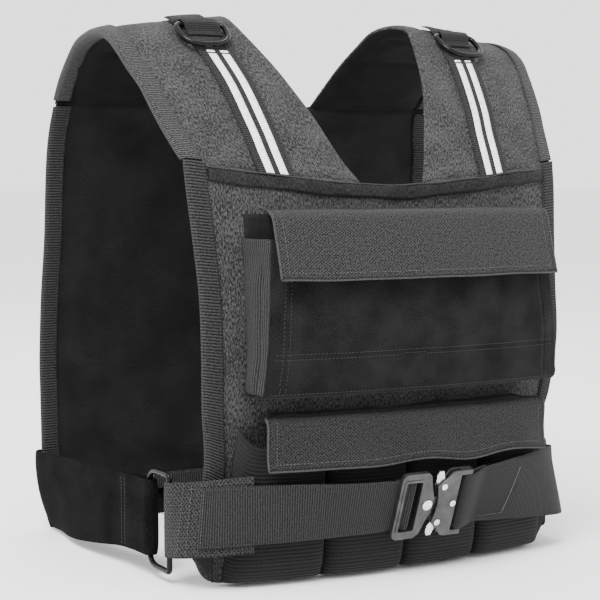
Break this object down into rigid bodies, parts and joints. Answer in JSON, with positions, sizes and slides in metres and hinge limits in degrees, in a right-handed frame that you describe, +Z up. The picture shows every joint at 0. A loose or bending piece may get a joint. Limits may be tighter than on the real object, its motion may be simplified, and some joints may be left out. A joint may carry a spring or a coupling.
{
  "type": "weighted vest",
  "caption": "Weighted training vest: padded front and back panels joined by shoulder pads, with hollow weight pouches, D-rings and a waist belt that closes with a metal side-release buckle.",
  "frame": {"origin": "midway between the two shoulder pads, level with their inner side at the crest, where the vest rests on the shoulders", "axes": "+Z up, -Y to the wearer's front, +X to the right of the front view"},
  "size_m": [0.44, 0.3971, 0.492],
  "materials": {
    "shell": "woven nylon shell, matt",
    "lining": "smooth dark lining",
    "tape": "ribbed binding tape",
    "loop": "brushed loop fabric",
    "flap": "patterned webbing",
    "webbing": "woven webbing",
    "reflective": "reflective tape",
    "nap": "napped elastic strap",
    "black_metal": "gloss black",
    "bright_metal": "bright"
  },
  "bodies": {
    "vest": {"front_panel": "shell", "back_panel": "lining", "chest_hem": "shell", "upper_pouch_front": "loop", "upper_flap": "flap", "lower_flap": "flap", "belt_web_wide": "webbing", "belt_web_narrow": "webbing", "belt_web_right": "webbing", "back_belt": "nap", "buckle_male": "black_metal", "buckle_female": "black_metal", "rivet_tongue": "bright_metal", "rivet_lever_top": "bright_metal", "rivet_lever_bottom": "bright_metal", "rivet_plate": "bright_metal", "lower_pocket_1": "loop", "lower_pocket_2": "loop", "lower_pocket_3": "loop", "lower_pocket_4": "loop", "front_binding_right": "tape", "back_binding_right": "tape", "shoulder_pad_right": "shell", "pad_binding_right": "tape", "shoulder_webbing_right": "webbing", "stripe_inner_right": "reflective", "stripe_outer_right": "reflective", "upper_pouch_side_right": "tape", "side_ring_right": "black_metal", "ring_keeper_right": "webbing", "front_binding_left": "tape", "back_binding_left": "tape", "shoulder_pad_left": "shell", "pad_binding_left": "tape", "shoulder_webbing_left": "webbing", "stripe_inner_left": "reflective", "stripe_outer_left": "reflective", "upper_pouch_side_left": "tape", "side_ring_left": "black_metal", "ring_keeper_left": "webbing"},
    "d_ring_right": {"d_ring_right": "black_metal"},
    "d_ring_left": {"d_ring_left": "black_metal"},
    "lever_top": {"buckle_lever_top": "bright_metal"},
    "lever_bottom": {"buckle_lever_bottom": "bright_metal"}
  },
  "joints": [
    {"name": "d_ring_right_tilt", "type": "hinge", "parent": "vest", "child": "d_ring_right", "pos_m": [0.1364, -0.03414, 0.00348], "axis": [-0.9962, -0.085, 0.018], "range_deg": [0, 150]},
    {"name": "d_ring_left_tilt", "type": "hinge", "parent": "vest", "child": "d_ring_left", "pos_m": [-0.1364, -0.03414, 0.00348], "axis": [-0.9962, 0.085, -0.018], "range_deg": [0, 150]},
    {"name": "lever_top_press", "type": "hinge", "parent": "vest", "child": "lever_top", "pos_m": [0.017, -0.19353, -0.39657], "axis": [0, -0.9397, -0.342], "range_deg": [0, 8], "stiffness_Nm_per_rad": 0.5, "springref_deg": -8.59},
    {"name": "lever_bottom_press", "type": "hinge", "parent": "vest", "child": "lever_bottom", "pos_m": [0.017, -0.18156, -0.42946], "axis": [0, 0.9397, 0.342], "range_deg": [0, 8], "stiffness_Nm_per_rad": 0.5, "springref_deg": -8.59}
  ]
}
